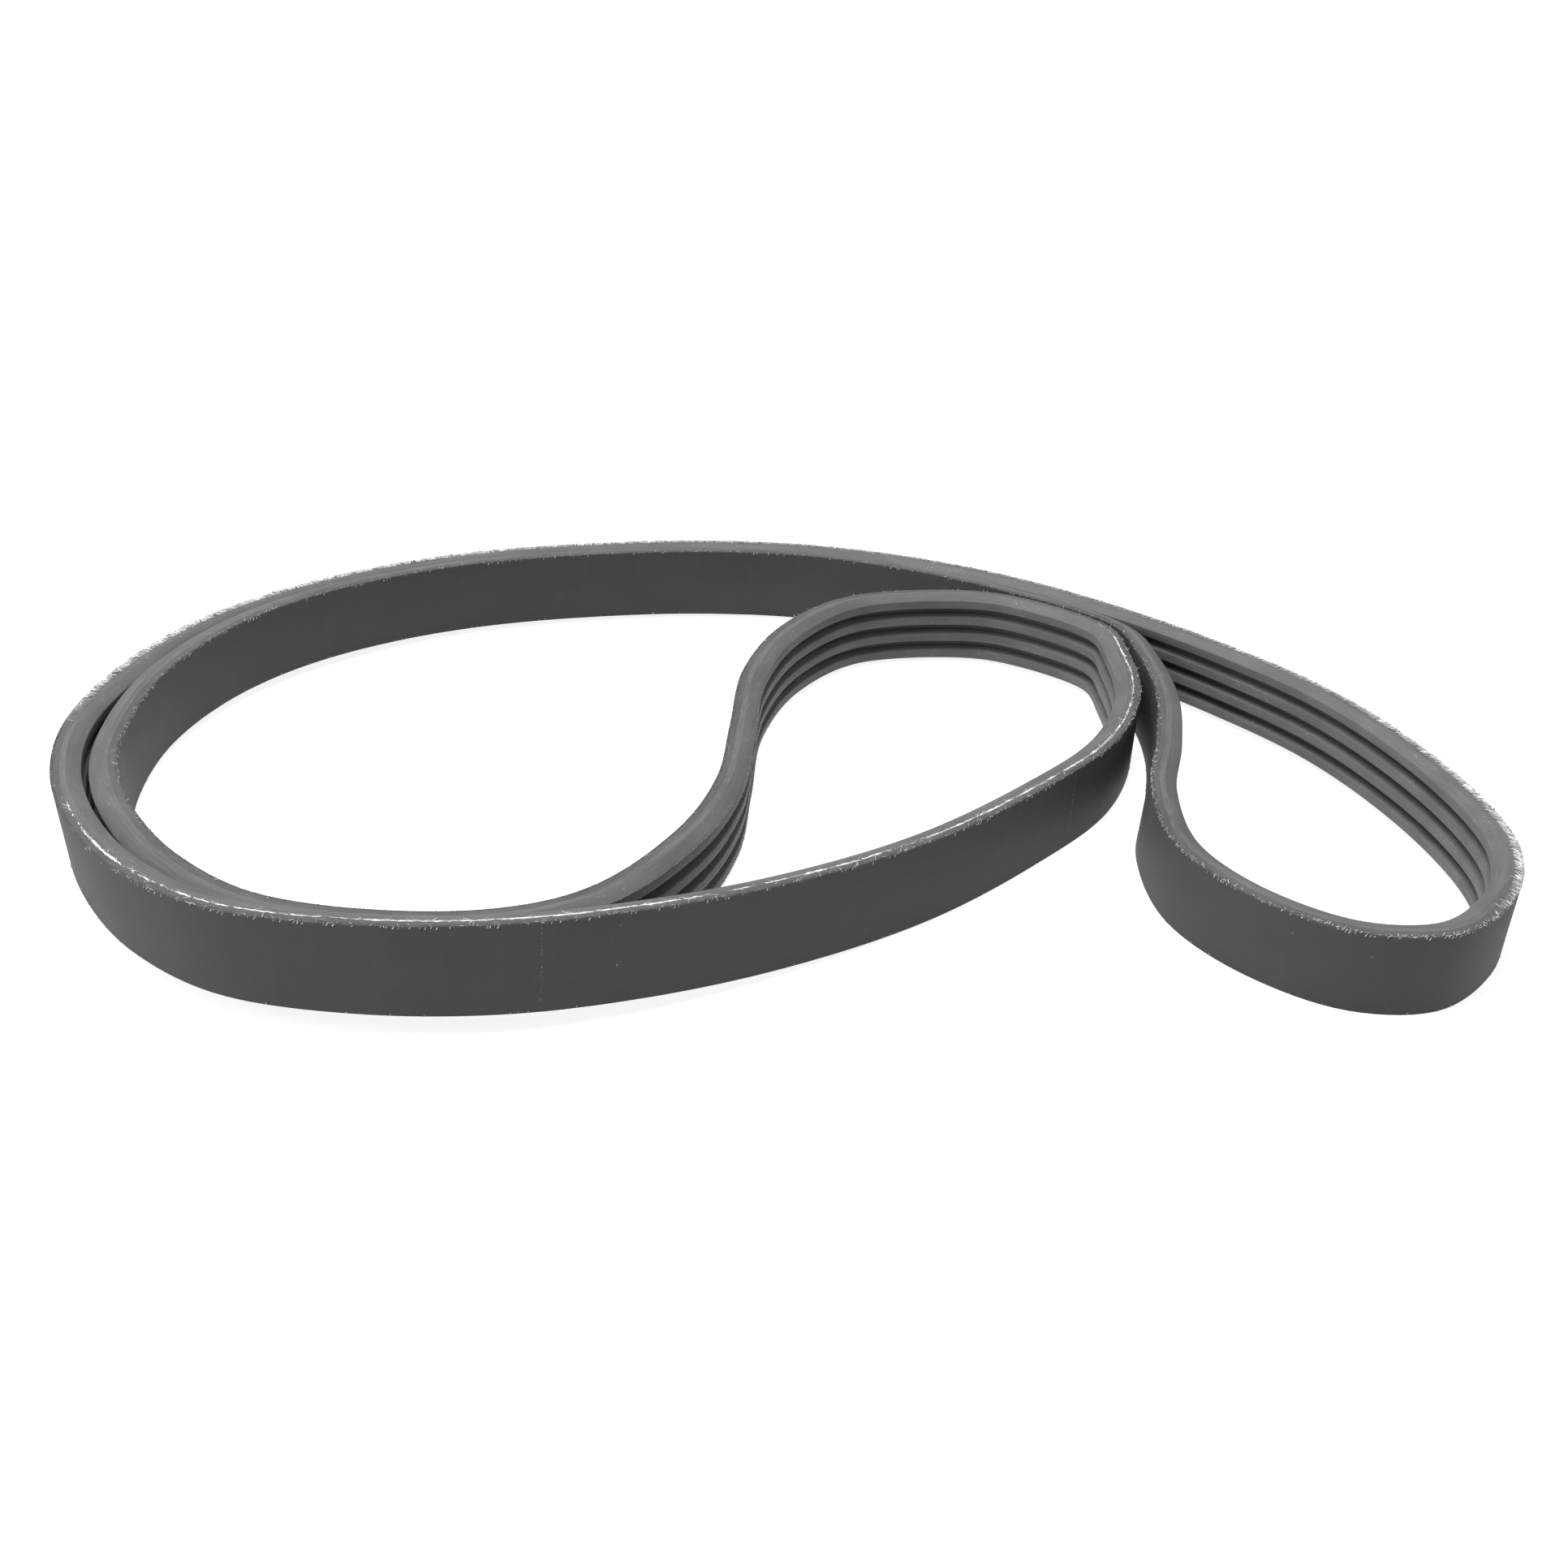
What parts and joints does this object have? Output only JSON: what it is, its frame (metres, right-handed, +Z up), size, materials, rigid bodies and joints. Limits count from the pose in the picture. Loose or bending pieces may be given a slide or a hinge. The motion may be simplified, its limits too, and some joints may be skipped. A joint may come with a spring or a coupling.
{
  "type": "v-ribbed belt",
  "caption": "Endless V-ribbed rubber drive belt standing on its cut edge in a loose lay, with one inner loop and one side lobe.",
  "frame": {"origin": "centre of the belt's outline, on the surface that its lower cut edge stands on", "axes": "+X along the longest extent, towards the side lobe; +Y towards the long back run; +Z up, across the belt's width"},
  "size_m": [0.2358, 0.185, 0.0175],
  "materials": {
    "woven_cover": "matt rubberised weave",
    "backing_rubber": "matt",
    "polyester_cord": "twisted white strand",
    "cushion_rubber": "matt",
    "rib_rubber": "matt, ground, fibre filled"
  },
  "bodies": {
    "root": {"back_cover": "woven_cover", "backing_rubber": "backing_rubber", "cord_turn_01": "polyester_cord", "cord_turn_02": "polyester_cord", "cord_turn_03": "polyester_cord", "cord_turn_04": "polyester_cord", "cord_turn_05": "polyester_cord", "cord_turn_06": "polyester_cord", "cord_turn_07": "polyester_cord", "cord_turn_08": "polyester_cord", "cord_turn_09": "polyester_cord", "cord_turn_10": "polyester_cord", "cord_turn_11": "polyester_cord", "cord_turn_12": "polyester_cord", "cushion_rubber": "cushion_rubber", "ribbed_rubber": "rib_rubber"}
  },
  "joints": []
}
